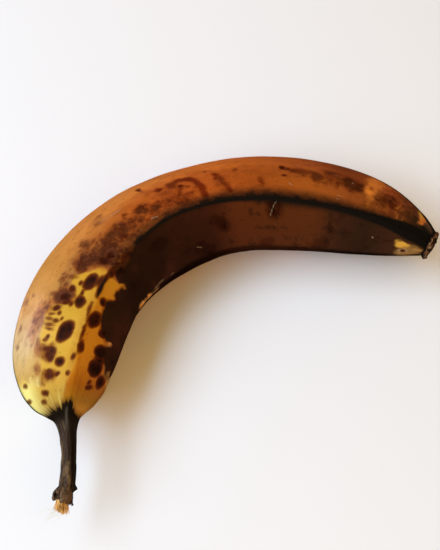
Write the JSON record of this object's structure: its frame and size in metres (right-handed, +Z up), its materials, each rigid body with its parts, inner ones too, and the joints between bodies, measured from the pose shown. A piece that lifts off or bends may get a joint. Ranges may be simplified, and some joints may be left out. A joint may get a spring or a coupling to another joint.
{
  "type": "plantain",
  "caption": "Whole ripe plantain lying on its side: a bent, ridged fruit with a broken stalk and a dried flower end.",
  "frame": {"origin": "centre of the fruit's bounding box, on the surface that it rests on", "axes": "+Z up from the surface; the bend lies level, with the stalk pointing along -Y at -X and the flower end at +X; +X is the longest extent"},
  "size_m": [0.1866, 0.1624, 0.0449],
  "materials": {
    "peel": "smooth waxy skin, amber to orange brown with purple brown spots and near black ridges, yellow towards the stalk",
    "stalk": "dried black brown skin, satin, furrowed lengthwise",
    "torn_fibre": "dry pale fibre, dull",
    "flower_remnant": "dried grey brown scar tissue, dull"
  },
  "bodies": {
    "root": {"plantain": "peel"}
  },
  "joints": []
}
